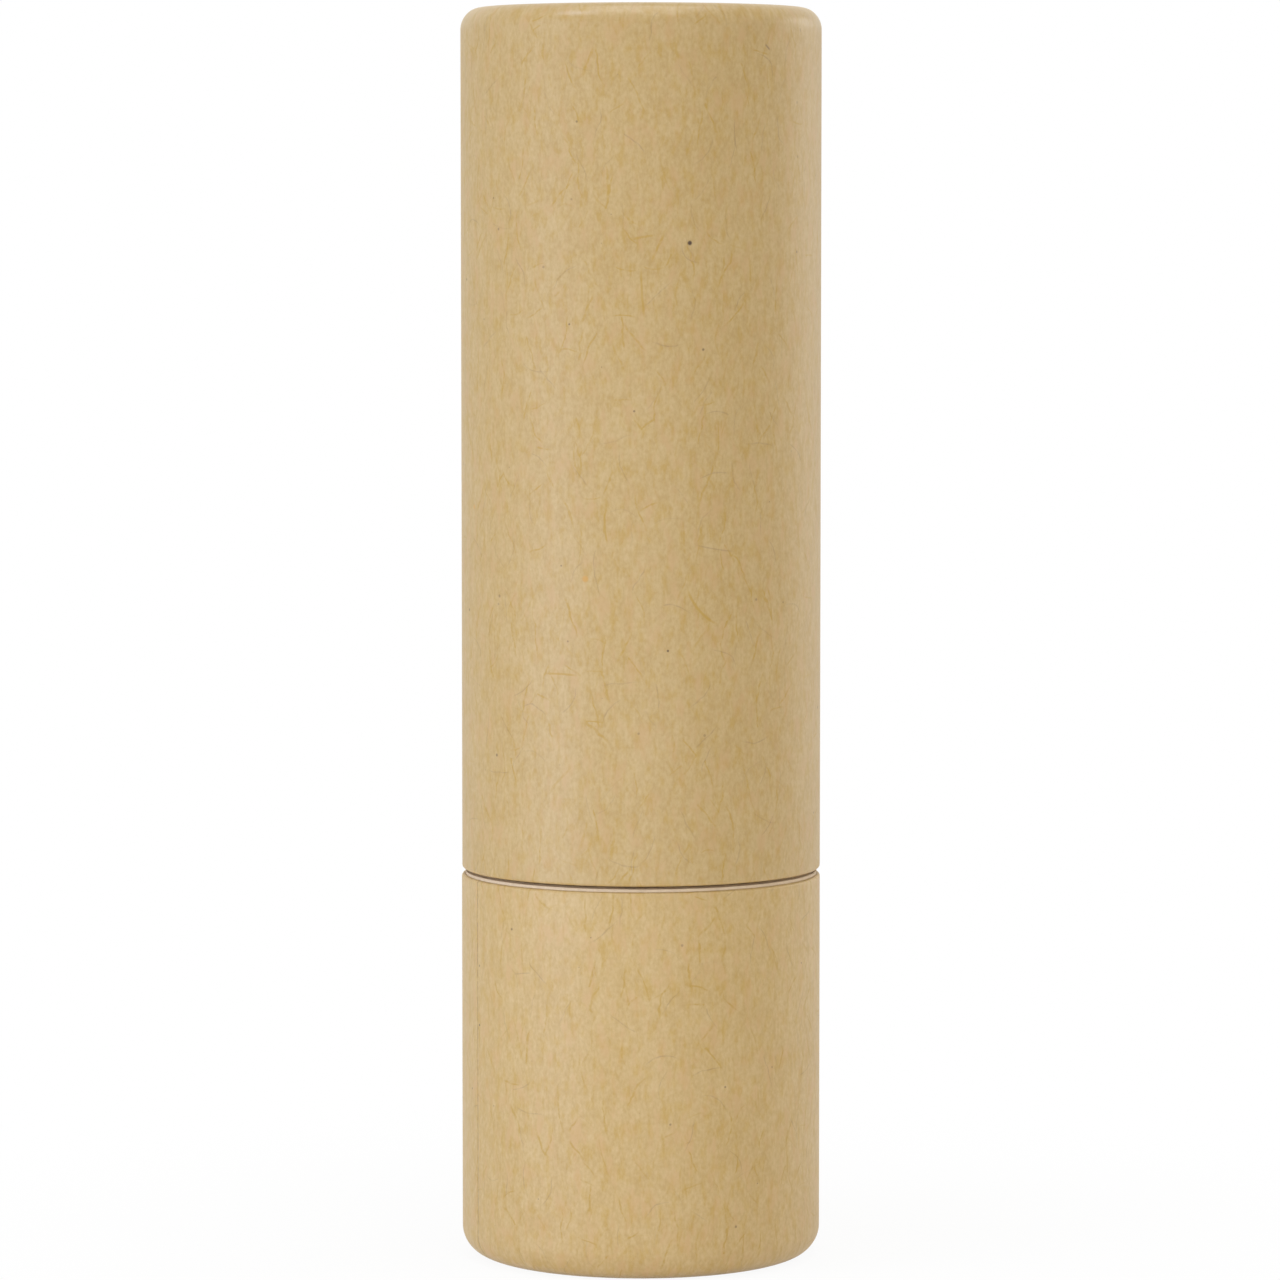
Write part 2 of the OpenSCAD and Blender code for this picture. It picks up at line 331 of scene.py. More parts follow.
def paper_wrap(name, sizes, rim, rounding, recess, height, top, first, seed):
    """A paper skin wound round a rolled tube, as a closed wall. The section runs along the outside,
    round the cut edge at the mouth and back along the inside. The relief adds the step at the lap
    seam, the slow unevenness and the pleats on the rolled-in lip."""
    lap = 7.9 * MM
    lap_fade = 0.7 * MM
    unevenness = 0.008 * MM
    pleat_count = 46
    pleat_width = 0.021      # radians
    pleat_depth = 0.07 * MM
    outside = rolled_path(sizes, rim, rounding, recess, height, SKIN_GAP, 12)
    inside = rolled_path(sizes, rim, rounding, recess, height, sizes.wrap - SKIN_GAP, 5)[::-1]
    edge = sizes.wrap - 2 * SKIN_GAP
    corner = (sizes.radius - SKIN_GAP - edge, height - SKIN_GAP - edge)
    outside = outside[outside[:, 1] < corner[1]]
    mouth = arc(corner, edge, 0, 82, 9)
    inside[0, 1] = height - 1.6 * SKIN_GAP
    section = chain(outside, mouth, inside)
    outer_rows = np.arange(len(section)) < len(outside) + len(mouth)
    level = len(outside) - 2

    seam = np.array([-0.14, -0.07, -0.03, 0.03, 0.09]) * MM / sizes.radius
    turns = columns_round(COLUMNS, seam)
    across = turns * sizes.radius
    full = 2 * math.pi * sizes.radius
    under = 1 - smooth(across, full - lap - lap_fade, full - lap + lap_fade)
    low_side = np.where(across < 1e-7, 1.0, under)

    radius, z = section[:, 0], section[:, 1]
    on_wall = smooth(radius, sizes.radius - 0.6 * rounding, sizes.radius - 0.1 * rounding)
    crest = sizes.radius - rim + sizes.lip + 0.3 * MM
    on_lip = smooth(radius, crest, sizes.radius - rim) * (z < recess + 1e-6)
    relief = -sizes.lap_step * on_wall[:, None] * low_side
    relief -= unevenness * on_wall[:, None] * out_of_round(turns, z)
    relief -= pleat_depth * on_lip[:, None] * pleats(turns, pleat_count, pleat_width, seed)
    relief *= outer_rows[:, None]
    return wound_wall(name, section, turns, relief, sizes.radius, level, first, top)


def board_tube(name, sizes, rim, rounding, recess, height, top, first):
    """A wound board tube as a closed wall: under the paper, over the cut mouth, down the bore and
    back over the rolled-in part. The mouth is crowned and a little wavy, with a shallow groove at
    each ply line."""
    groove_depth = 0.045 * MM
    groove_width = 0.03 * MM
    waviness = 0.012 * MM
    skin = sizes.wrap + SKIN_GAP
    outside = rolled_path(sizes, rim, rounding, recess, height, skin, 6)[:-1]
    outer = sizes.radius - skin
    bore = sizes.bore + SKIN_GAP
    soft = 0.05 * MM
    mouth_r = np.linspace(outer - soft, bore + soft, 37)
    ply = (outer - bore) / PLIES
    from_line = np.abs((mouth_r - bore + 0.5 * ply) % ply - 0.5 * ply)
    groove = groove_depth * np.exp(-(from_line / groove_width) ** 2)
    groove[(mouth_r > outer - 0.4 * ply) | (mouth_r < bore + 0.4 * ply)] = 0.0
    crown = sizes.crown * smooth(outer - mouth_r, 0.08 * MM, 0.42 * MM)
    mouth = np.stack([mouth_r, height - SKIN_GAP - groove + crown], 1)
    inner_top = height - SKIN_GAP - soft + sizes.crown
    section = chain(
        outside,
        line((outer, height - 0.4 * MM), (outer, height - SKIN_GAP - soft), 4),
        arc((outer - soft, height - SKIN_GAP - soft), soft, 0, 90, 5),
        mouth,
        arc((bore + soft, inner_top), soft, 90, 180, 5),
        line((bore, inner_top), (bore, recess), 8),
        line((bore, recess), (outside[0, 0], recess), 3),
    )[:-1]
    turns = columns_round(COLUMNS)
    near_mouth = smooth(section[:, 1], height - 0.3 * MM, height - 0.05 * MM)
    wave = 0.5 + 0.25 * (np.sin(17 * turns + 0.6) + np.sin(41 * turns) * np.cos(7 * turns))
    relief = -waviness * near_mouth[:, None] * wave
    level = len(outside) - 2
    return wound_wall(name, section, turns, relief, sizes.radius, level, first, top)


def end_face(name, radius, visible, face, back, sign):
    """A round paper face, slightly dished between the pressed-in edge and the middle. The face's
    height is its level, less a dish that falls as 1 minus the radius squared; the sign says
    whether it faces up (1) or down (-1)."""
    dish_depth = 0.07 * MM
    press_depth = 0.05 * MM
    press_in = 0.25 * MM
    sheet_place = (90 + 30 * sign) * MM
    middle = np.linspace(0.0, visible - 0.3 * MM, 40)
    r = np.r_[middle, np.linspace(visible - press_in, radius, 20)]
    dish = dish_depth * np.clip(1 - (r / visible) ** 2, 0, 1)
    press = press_depth * np.exp(-((r - visible + press_in) / (0.22 * MM)) ** 2)
    shown = np.stack([r, face - sign * (SKIN_GAP + dish + press)], 1)
    hidden = np.stack([[0.0, radius], [back, back]], 1)
    section = chain(hidden, shown[::-1]) if sign > 0 else chain(shown, hidden[::-1])
    turns = columns_round(192)
    ripple = 0.5 + 0.25 * (np.cos(3 * turns + 0.8) + np.cos(7 * turns - 1.1))
    on_face = np.abs(section[:, 1] - face) < 0.16 * MM
    amount = 0.02 * MM * smooth(section[:, 0], 0.2 * visible, visible) * on_face
    points = turned_points(section, turns, 0.0, -amount[:, None] * ripple, closed=False)
    points[[0, -1], :, :2] = 0.0
    return grid_object(name, points, flat_sheet(points, sheet_place), closed_rows=False, poles=True)


def neck_tube(name, sizes, bottom, mouth, collar, collar_top):
    """The smooth neck as a closed wall: up the outside with a thin collar that has rounded edges
    and a fillet, over the rounded mouth and down the bore."""
    outer = sizes.neck - SKIN_GAP
    bore = sizes.neck_bore + SKIN_GAP
    edge = (outer - bore) / 2
    soft = 0.12 * MM
    collar_r = collar - SKIN_GAP
    collar_low = collar_top - sizes.collar_height
    section = chain(
        line((outer, bottom + soft), (outer, collar_low), 6),
        line((outer, collar_low), (collar_r - soft, collar_low), 3),
        arc((collar_r - soft, collar_low + soft), soft, 270, 360, 5),
        arc((collar_r - soft, collar_top - soft), soft, 0, 90, 5),
        arc((outer + soft, collar_top + soft), soft, 270, 180, 6),
        line((outer, collar_top + 2 * soft), (outer, mouth - edge), 40),
        arc((outer - edge, mouth - edge), edge - SKIN_GAP, 0, 180, 15),
        line((bore, mouth - edge), (bore, bottom + soft), 12),
        line((bore, bottom + soft), (outer, bottom), 2),
    )
    turns = columns_round(256)
    swell = 0.004 * MM * (1 + np.cos(2 * turns + 0.5))
    relief = -np.ones((len(section), 1)) * swell
    return wound_wall(name, section, turns, relief, sizes.radius, 20)


def grip_sleeve(name, sizes, outer, bottom, top):
    """The cap's grip as a closed wall. Its bore is a circle less the round ribs: at an angle off a
    rib's middle the rib reaches the near side of a small circle. The ribs and the bore ease open
    towards the mouth."""
    lead_in = 0.5 * MM
    flare = 0.16 * MM
    outer -= SKIN_GAP
    bore = sizes.grip_bore
    z = np.r_[np.linspace(top, bottom + 1.2 * MM, 22), np.linspace(bottom + 1.1 * MM, bottom, 12)]
    lead = np.clip((bottom + lead_in - z) / lead_in, 0, 1) ** 2
    inside = np.stack([bore + flare * lead, z], 1)
    section = chain(
        line((outer, bottom), (outer, top), 6),
        line((outer, top), (bore, top), 3),
        inside,
        line(inside[-1], (outer, bottom), 3),
    )[:-1]
    pitch = 2 * math.pi / sizes.ribs
    near = np.linspace(-1.6, 1.6, 23) * math.radians(1.15)
    middles = (np.arange(sizes.ribs) + 0.5) * pitch
    turns = columns_round(180, (middles[:, None] + near).ravel())
    off = (turns % pitch) - 0.5 * pitch
    centre = sizes.rib_tip + sizes.rib_round
    reach_in = sizes.rib_round ** 2 - (centre * np.sin(off)) ** 2
    near_side = centre * np.cos(off) - np.sqrt(np.clip(reach_in, 0, None))
    rib = np.where(reach_in > 0, np.clip(bore - near_side, 0, None), 0.0)
    inner_row = np.abs(section[:, 0] - bore) < flare + 0.01 * MM
    grown = smooth(section[:, 1], bottom + 0.1 * MM, bottom + 1.1 * MM) * inner_row
    relief = grown[:, None] * rib
    return wound_wall(name, section, turns, relief, sizes.radius, 3)


def balm_bullet(name, radius, bottom, tip, dome):
    """The balm: a plain column with a rounded lower edge and a domed tip. The dome is part of a
    sphere with a softened rim, faint cooling rings and a shallow dimple at its middle."""
    radius -= SKIN_GAP
    tip -= SKIN_GAP
    rim = 0.45 * MM
    foot = 0.3 * MM
    ring_height = 0.008 * MM
    ring_pitch = 0.55 * MM
    dimple_depth = 0.16 * MM
    slope = math.asin((radius - rim) / (dome - rim))
    rim_centre = (radius - rim, tip - dome + (dome - rim) * math.cos(slope))
    over = np.linspace(slope, 0.0, 90)
    cap = np.stack([dome * np.sin(over), tip - dome + dome * np.cos(over)], 1)
    rings = ring_height * (1 + np.cos(cap[:, 0] / ring_pitch * 2 * math.pi))
    rings *= smooth(cap[:, 0], radius - rim, 0.6 * radius)
    dimple = dimple_depth * np.exp(-(cap[:, 0] / (0.9 * MM)) ** 2)
    cap[:, 1] -= rings + dimple
    section = chain(
        line((0.0, bottom + SKIN_GAP), (radius - foot, bottom + SKIN_GAP), 8),
        arc((radius - foot, bottom + foot + SKIN_GAP), foot, 270, 360, 6),
        line((radius, bottom + 0.4 * MM), (radius, rim_centre[1]), 40),
        arc(rim_centre, rim, 0, 90 - math.degrees(slope), 12),
        cap,
    )
    turns = columns_round(256)
    wave = 0.5 + 0.5 * np.cos(2 * turns + 0.9)
    side = smooth(section[:, 0], 0.6 * radius, radius)
    points = turned_points(section, turns, 0.0, -0.01 * MM * side[:, None] * wave, closed=False)
    points[[0, -1], :, :2] = 0.0
    return grid_object(name, points, flat_sheet(points), closed_rows=False, poles=True)


# Finishes

class Val:
    """One output socket of a node. Arithmetic on it adds Math nodes."""

    def __init__(self, finish, socket):
        self.finish = finish
        self.socket = socket

    def other(self, output):
        """Another output of the same node."""
        return Val(self.finish, self.socket.node.outputs[output])

    def __add__(self, other):
        return self.finish.maths("ADD", self, other)

    def __radd__(self, other):
        return self.finish.maths("ADD", other, self)

    def __sub__(self, other):
        return self.finish.maths("SUBTRACT", self, other)

    def __rsub__(self, other):
        return self.finish.maths("SUBTRACT", other, self)

    def __mul__(self, other):
        return self.finish.maths("MULTIPLY", self, other)

    def __abs__(self):
        return self.finish.maths("ABSOLUTE", self)


class Finish:
    """The nodes of a material or a world, and short calls that add them."""

    def __init__(self, owner):
        owner.use_nodes = True
        self.tree = owner.node_tree
        self.tree.nodes.clear()

    def add(self, kind, inputs, output=0, **settings):
        """Adds any node: its type, the values or links of its sockets, and its settings."""
        node = self.tree.nodes.new(kind)
        for key, value in settings.items():
            setattr(node, key, value)
        for key, value in inputs.items():
            if isinstance(value, Val):
                self.tree.links.new(value.socket, node.inputs[key])
            else:
                node.inputs[key].default_value = value
        return Val(self, node.outputs[output]) if len(node.outputs) else None

    def maths(self, operation, *values):
        """A Math node on numbers or sockets."""
        return self.add("ShaderNodeMath", dict(enumerate(values)), operation=operation)

    def vector(self, operation, *values, output=0):
        """A Vector Math node on vectors or sockets."""
        return self.add("ShaderNodeVectorMath", dict(enumerate(values)), output,
                        operation=operation)

    def lighter(self, colour, factor):
        """A colour times a factor."""
        return self.add("ShaderNodeVectorMath", {0: colour, "Scale": factor}, operation="SCALE")

    def parts(self, place):
        """The x of a place, with its y and z as the other outputs."""
        return self.add("ShaderNodeSeparateXYZ", {0: place})

    def step(self, value, start, stop):
        """Smooth step from 0 at start to 1 at stop."""
        return self.add("ShaderNodeMapRange", {"Value": value, "From Min": start, "From Max": stop},
                        interpolation_type="SMOOTHSTEP")

    def mix(self, share, first, second):
        """Two colours mixed by a share from 0 to 1."""
        first = first if isinstance(first, Val) else (*first, 1.0)
        second = second if isinstance(second, Val) else (*second, 1.0)
        return self.add("ShaderNodeMix", {0: share, 6: first, 7: second}, 2, data_type="RGBA")

    def noise(self, place, scale, detail, rough, output=0):
        """A noise texture of that many features for each unit of the place."""
        return self.add("ShaderNodeTexNoise", {
            "Vector": place, "Scale": scale, "Detail": detail, "Roughness": rough}, output)

    def sheet(self):
        """The place on the piece's sheet, in millimetres."""
        place = self.add("ShaderNodeUVMap", {}, uv_map=SHEET)
        return self.vector("MULTIPLY", place, (1 / MM, 1 / MM, 0.0))

    def solid(self):
        """The place in the frame, in millimetres."""
        place = self.add("ShaderNodeTexCoord", {}, "Object")
        return self.vector("MULTIPLY", place, (1 / MM, 1 / MM, 1 / MM))

    def surface(self, inputs):
        """The main shader, with its values and links, and the output."""
        shader = self.add("ShaderNodeBsdfPrincipled", inputs)
        self.add("ShaderNodeOutputMaterial", {"Surface": shader})

    def bump(self, height, distance):
        """A Bump node for a height from 0 to 1 that stands for a distance in metres."""
        return self.add("ShaderNodeBump", {"Height": height, "Distance": distance})

    def strand(self, local, turn, bend, size):
        """Mask of one fibre through the local origin: a run of the parabola across = bend times
        along squared, turned clockwise from upright, fading at its sides and ends. The size is
        half its width and half its length, in millimetres."""
        parts = self.parts(self.add("ShaderNodeVectorRotate", {"Vector": local, "Angle": turn},
                                    rotation_type="Z_AXIS"))
        along = parts.other(1)
        across = abs(parts - along * along * bend)
        side = self.step(across, size[0], 0.25 * size[0])
        return side * self.step(abs(along), size[1], 0.45 * size[1])

    def cells(self, place, cell, shift):
        """Voronoi cells of a width and height in millimetres: three random values of each cell,
        and a place measured from the cell's own point."""
        scaled = self.vector("MULTIPLY_ADD", place, (1 / cell[0], 1 / cell[1], 0.0), shift)
        found = self.add("ShaderNodeTexVoronoi", {"Vector": scaled, "Scale": 1.0},
                         voronoi_dimensions="2D")
        local = self.vector("SUBTRACT", scaled, found.other("Position"))
        local = self.vector("MULTIPLY", local, (cell[0], cell[1], 0.0))
        return self.parts(found.other("Color")), local

    def fibres(self, place, cell, size, tilt, bend, keep, shift):
        """One layer of separate fibres, as a mask, with one fibre to a Voronoi cell. The cell's
        colour gives its angle, bend and strength, which falls to nothing over the share to keep."""
        own, local = self.cells(place, cell, shift)
        turn = (own - 0.5) * (2 * tilt)
        curve = (own.other(1) - 0.5) * (2 * bend)
        return self.strand(local, turn, curve, size) * self.step(own.other(2), keep, 0.0)

    def dots(self, place, cell, radius, keep, shift):
        """One layer of round dots of uneven size and strength, as a mask, one to a Voronoi cell."""
        own, local = self.cells(place, (cell, cell), shift)
        away = self.maths("DIVIDE", self.vector("LENGTH", local, output=1), own + 0.35)
        return self.step(away, radius, 0.4 * radius) * self.step(own.other(2), keep, 0.0)

    def single_fibres(self, mask, place, marks):
        """A mask with single fibres added to it."""
        for x, y, turn, bend, wide, long, share in marks.values():
            local = self.vector("SUBTRACT", place, (*on_sheet(x, y), 0.0))
            mask = mask + self.strand(local, math.radians(turn), bend, (wide, long)) * share
        return mask

    def single_dots(self, mask, place, marks):
        """A mask with single dots added to it."""
        for x, y, radius, share in marks.values():
            away = self.vector("DISTANCE", place, (*on_sheet(x, y), 0.0), output=1)
            mask = mask + self.step(away, radius, 0.4 * radius) * share
        return mask


# Single marks that stand out in the paper, by the pixel across and down at which the camera sees
# them. Dots: pixel, radius in millimetres and strength
SPECKS = {
    "black dot": (690, 243, 0.17, 1.0),
    "low dot": (668, 651, 0.09, 0.8),
    "dot on the base's seam": (479, 1025, 0.09, 0.8),
    "left dot": (493, 198, 0.08, 0.45),
    "left tick": (498, 229, 0.11, 0.4),
    "brown tick": (543, 267, 0.10, 0.3),
    "upper of the twin dots": (499, 596, 0.12, 0.4),
    "lower of the twin dots": (498, 604, 0.10, 0.3),
}
ORANGE_SPOTS = {"orange spot": (585, 579, 0.24, 0.55)}
# Fibres: pixel, turn from upright in degrees, bend, half width and half length in millimetres,
# and strength
GOLDEN_FIBRES = {
    "upright under the bar": (642, 293, -4.0, 0.02, 0.10, 1.7, 0.9),
    "low bar": (560, 674, 91.0, 0.04, 0.09, 1.2, 1.0),
    "bar left of the black dot": (643, 237, 80.0, 0.05, 0.10, 0.8, 0.8),
    "middle upright": (605, 529, -6.0, 0.05, 0.08, 1.0, 0.9),
    "slanted bow": (699, 610, -41.0, 0.16, 0.11, 1.6, 1.0),
}
DARK_FIBRES = {
    "level hair": (715, 549, -80.0, 0.03, 0.06, 1.3, 0.9),
    "curl under the black dot": (685, 256, -37.0, 0.70, 0.05, 0.9, 0.8),
    "short stroke at the top": (768, 47, -50.0, 0.00, 0.08, 0.27, 2.2),
    "nick on the rim": (801, 30, -20.0, 0.00, 0.06, 0.15, 1.6),
    "right upright hair": (735, 136, -5.0, 0.10, 0.05, 1.0, 1.0),
}


def on_sheet(x, y):
    """Place on the wraps' sheet, in millimetres, of a pixel of the picture. The camera's ray
    through the pixel meets the tube at the nearer root of a quadratic. The angle from the lap seam
    times the radius is the place across, and the height is the place up."""
    sizes = bpy.context.scene.balm_stick_sizes
    pixel = SENSOR / LENS / PICTURE
    right = (x - PICTURE / 2) * pixel
    rise = (PICTURE / 2 - y) * pixel
    ahead = math.cos(CAMERA_DOWN) + rise * math.sin(CAMERA_DOWN)
    upward = rise * math.cos(CAMERA_DOWN) - math.sin(CAMERA_DOWN)
    a = right ** 2 + ahead ** 2
    b = CAMERA_AT[0] * right + CAMERA_AT[1] * ahead
    c = CAMERA_AT[0] ** 2 + CAMERA_AT[1] ** 2 - sizes.radius ** 2
    run = (-b - math.sqrt(b * b - a * c)) / a
    up = CAMERA_AT[2] + run * upward
    lap = sizes.cap_lap if up > sizes.base_mouth else sizes.base_lap
    turn = math.atan2(CAMERA_AT[1] + run * ahead, CAMERA_AT[0] + run * right) - lap
    return turn % (2 * math.pi) * sizes.radius / MM, up / MM


def kraft_finish(f, colours):
    """Satin kraft paper on the sheet's own UV. A fine grain and soft patches vary the tone, golden
    and grey-brown fibres lie in it, with a few specks and spots, and the cut edge at the lap seam
    shows as a broken darker line, partly the edge's own brown and partly painted shade at the
    lap's step. The base's sheet is painted a little lighter, as painted light bounced up from the
    floor, and the cap's rolled rim is burnished."""
    place = f.sheet()
    curl = f.noise(place, 0.8, 2.0, 0.5, 1)
    curl = f.vector("MULTIPLY_ADD", curl, (0.60, 0.36, 0.0), (-0.30, -0.18, 0.0))
    wavy = f.vector("ADD", place, curl)

    grain_place = f.vector("MULTIPLY", place, (1.0, 0.42, 1.0))
    patches = f.noise(f.vector("MULTIPLY", place, (1.0, 0.55, 1.0)), 0.40, 2.0, 0.5)
    streaks = f.noise(grain_place, 1.9, 3.0, 0.6)
    fuzz = f.noise(f.vector("MULTIPLY", place, (1.0, 0.6, 1.0)), 5.5, 2.0, 0.6)
    blush = f.noise(f.vector("ADD", grain_place, (31.0, 17.0, 0.0)), 1.3, 3.0, 0.6)
    ochre = f.noise(f.vector("ADD", grain_place, (7.0, 41.0, 0.0)), 2.1, 3.0, 0.6)

    tone = (patches - 0.5) * 0.35 + (streaks - 0.5) * 0.9 + (fuzz - 0.5) * 1.05 + 0.5
    paper = f.mix(f.step(tone, 0.05, 0.95), colours.kraft, colours.kraft_pale)
    paper = f.mix(f.step(blush, 0.48, 0.70) * 0.7, paper, colours.kraft_warm)
    paper = f.mix(f.step(ochre, 0.46, 0.70) * 0.44, paper, colours.kraft_gold)
    across = f.parts(place)
    up = across.other(1)
    # Painted light: the sheet below the base's mouth is painted 6 % lighter, standing for light
    # bounced up from the floor
    mouth = high("base_tube") / MM
    paper = f.lighter(paper, 1.0 + f.step(up, mouth + 0.5, mouth) * 0.06)

    gold = (
        f.fibres(wavy, (1.3, 3.0), (0.075, 1.30), 0.45, 0.16, 0.7, (3.1, 7.7, 0.0))
        + f.fibres(wavy, (2.0, 2.6), (0.095, 1.15), 0.8, 0.2, 0.6, (11.3, 1.9, 0.0))
        + f.fibres(wavy, (1.6, 1.6), (0.07, 0.70), 1.6, 0.4, 0.5, (5.9, 23.1, 0.0))
        + f.fibres(wavy, (0.7, 2.2), (0.08, 1.0), 0.2, 0.1, 0.8, (8.3, 4.1, 0.0)) * 0.4
    )
    hairs = (
        f.fibres(wavy, (2.7, 2.7), (0.055, 1.1), 1.6, 0.45, 0.6, (17.3, 3.3, 0.0))
        + f.fibres(wavy, (1.9, 2.6), (0.05, 1.0), 0.7, 0.3, 0.5, (9.1, 12.7, 0.0))
    )
    broken = f.step(f.noise(place, 2.6, 2.0, 0.6), 0.36, 0.60)
    gold = f.single_fibres(gold * (0.35 + broken * 0.65), place, GOLDEN_FIBRES)
    hairs = f.single_fibres(hairs * (0.5 + broken * 0.5), place, DARK_FIBRES)
    specks = f.dots(place, 3.3, 0.085, 0.45, (2.7, 9.3, 0.0)) * 0.6
    specks = f.single_dots(specks, place, SPECKS)
    spots = f.dots(place, 17.0, 0.24, 0.7, (0.35, 0.6, 0.0)) * 0.5
    spots = f.single_dots(spots, place, ORANGE_SPOTS)
    # Darker line along the lap seam's cut edge: partly the edge's own brown, partly painted shade at
    # the lap's step
    seam = f.step(abs(across - 0.05), 0.09, 0.02) * (0.15 + broken * 0.45)

    paper = f.mix(f.maths("MINIMUM", gold, 1.0) * 0.66, paper, colours.kraft_gold)
    # The dark fibres, and the seam line of partly painted shade, take the dark fibre colour
    paper = f.mix(f.maths("MINIMUM", hairs * 0.32 + seam, 0.85), paper, colours.kraft_hair_and_seam_shade)
    paper = f.mix(f.maths("MINIMUM", spots, 1.0), paper, colours.spot)
    paper = f.mix(f.maths("MINIMUM", specks, 1.0), paper, colours.speck)

    top = high("cap_wrap") / MM
    rolled = f.step(up, top - 1.6, top - 0.8)
    rough = 0.48 + (streaks - 0.5) * 0.12 + gold * 0.02 - rolled * 0.17
    tooth = streaks * 0.6 + fuzz * 0.3 + gold * 0.1
    f.surface({"IOR": 1.5, "Specular IOR Level": 0.6, "Base Color": paper, "Roughness": rough,
               "Normal": f.bump(tooth, 0.010 * MM)})


def board_finish(f, colours):
    """Pale wound board: short felted fibres, and darker glue lines between the plies at the cut
    mouths, where the distance from the axis says which ply it is."""
    place = f.solid()
    felt = f.noise(place, 3.5, 4.0, 0.65)
    patch = f.noise(place, 0.7, 2.0, 0.5)
    board = f.mix(f.step(felt, 0.3, 0.72), colours.board_dark, colours.board)
    board = f.mix(0.62 + patch * 0.3, board, colours.board)
    radius = f.vector("LENGTH", f.vector("MULTIPLY", place, (1.0, 1.0, 0.0)), output=1)
    inner = reach("base_lining") / MM
    outer = reach("base_tube") / MM
    ply = (outer - inner) / PLIES
    in_ply = f.maths("PINGPONG", radius - inner, ply * 0.5)
    line_mask = f.step(in_ply, 0.035, 0.0)
    inside_wall = f.step(radius, inner + 0.1, inner + 0.14)
    inside_wall = inside_wall * f.step(radius, outer - 0.1, outer - 0.14)
    board = f.mix(line_mask * inside_wall * 0.6, board, colours.board_dark)
    f.surface({"IOR": 1.45, "Base Color": board, "Roughness": 0.74 + felt * 0.2,
               "Normal": f.bump(felt, 0.02 * MM)})


def lining_finish(f, colours):
    """White lining paper with a soft cloudy formation and a fine tooth."""
    place = f.solid()
    cloud = f.noise(place, 0.9, 3.0, 0.6)
    tooth = f.noise(place, 9.0, 2.0, 0.5)
    paper = f.mix(f.step(cloud, 0.3, 0.7), tuple(0.9 * c for c in colours.lining), colours.lining)
    f.surface({"IOR": 1.45, "Base Color": paper, "Roughness": 0.5 + tooth * 0.2,
               "Normal": f.bump(tooth, 0.01 * MM)})


def plastic_finish(f, tint, rough, marks):
    """Moulded plastic: a faint cloudiness, fine marks along the mould's draw and a soft texture."""
    place = f.solid()
    cloud = f.noise(place, 0.25, 3.0, 0.55)
    drawn = f.noise(f.vector("MULTIPLY", place, (1.0, 1.0, 0.04)), 5.0, 3.0, 0.6)
    spark = f.noise(place, 14.0, 2.0, 0.5)
    body = f.mix(f.step(cloud, 0.2, 0.8), tuple(0.965 * c for c in tint), tint)
    f.surface({"IOR": 1.49, "Subsurface Weight": 0.12, "Subsurface Scale": 0.6 * MM,
               "Base Color": body, "Roughness": rough + (drawn - 0.5) * 0.1,
               "Normal": f.bump(drawn * marks + spark * 0.3, 0.006 * MM)})


def rubber_finish(f, colours):
    """Dull soft rubber with a dusty bloom."""
    place = f.solid()
    bloom = f.noise(place, 2.5, 4.0, 0.6)
    body = f.mix(f.step(bloom, 0.35, 0.7), tuple(0.8 * c for c in colours.ring), colours.ring)
    f.surface({"IOR": 1.5, "Base Color": body, "Roughness": 0.7 + bloom * 0.2,
               "Normal": f.bump(bloom, 0.01 * MM)})


def balm_finish(f, colours):
    """Waxy balm: a milky body, a paler bloom in soft patches, and a few fine pits, painted a little
    darker as painted shade in them.
    """
    place = f.solid()
    bloom = f.noise(place, 0.5, 4.0, 0.6)
    fine = f.noise(place, 5.0, 3.0, 0.55)
    pits = f.add("ShaderNodeTexVoronoi", {"Vector": place, "Scale": 1.4})
    pit = f.step(pits, 0.11, 0.04)
    wax = f.mix(f.step(bloom, 0.35, 0.75) * 0.45, colours.balm, colours.balm_pale)
    # Painted shade: the sunken pits are painted a little darker
    wax = f.mix(pit * 0.25, wax, tuple(0.8 * c for c in colours.balm))
    f.surface({"IOR": 1.44, "Subsurface Weight": 0.35, "Subsurface Scale": 1.2 * MM,
               "Base Color": wax, "Roughness": 0.34 + bloom * 0.2,
               "Normal": f.bump(fine * 0.3 + 0.7 - pit * 0.6, 0.02 * MM)})


MAKERS = {
    "kraft_paper": kraft_finish,
    "board": board_finish,
    "lining_paper": lining_finish,
    "neck_plastic": lambda f, colours: plastic_finish(f, tuple(colours.neck), 0.3, 0.6),
    "inner_plastic": lambda f, colours: plastic_finish(f, tuple(colours.inner), 0.42, 1.0),
    "ring_rubber": rubber_finish,
    "balm_wax": balm_finish,
}


def finish_named(name):
    """The finish with this name, made on first use."""
    if name not in FINISHES:
        FINISHES[name] = bpy.data.materials.new(f"finish_{name}")
        MAKERS[name](Finish(FINISHES[name]), bpy.context.scene.balm_stick_colours)
    return FINISHES[name]


def place_piece(piece, body, slot, *nodes):
    """Gives a new piece the finish of its slot and its body, and hides the CAD nodes that it stands
    for.
    """
    piece.data.materials.append(finish_named(slot))
    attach(piece, body)
    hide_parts(*nodes)


# Operators

class BALMSTICK_OT_paper(bpy.types.Operator):
    """Wraps the cap and the base in kraft paper"""
    bl_idname = "balmstick.paper"
    bl_label = "Paper Wraps"

    def execute(self, context):
        s = context.scene.balm_stick_sizes
        cap = paper_wrap("cap_paper", s, s.cap_rim, s.cap_round, s.cap_recess,
                         s.cap_top - s.cap_mouth + s.cap_overhang, s.cap_top, s.cap_lap, 11)
        place_piece(cap, "cap", "kraft_paper", "cap_wrap")
        base = paper_wrap("base_paper", s, s.base_rim, s.base_round, s.base_recess,
                          s.base_paper_top, 0.0, s.base_lap, 12)
        place_piece(base, "base", "kraft_paper", "base_wrap")
        return {"FINISHED"}


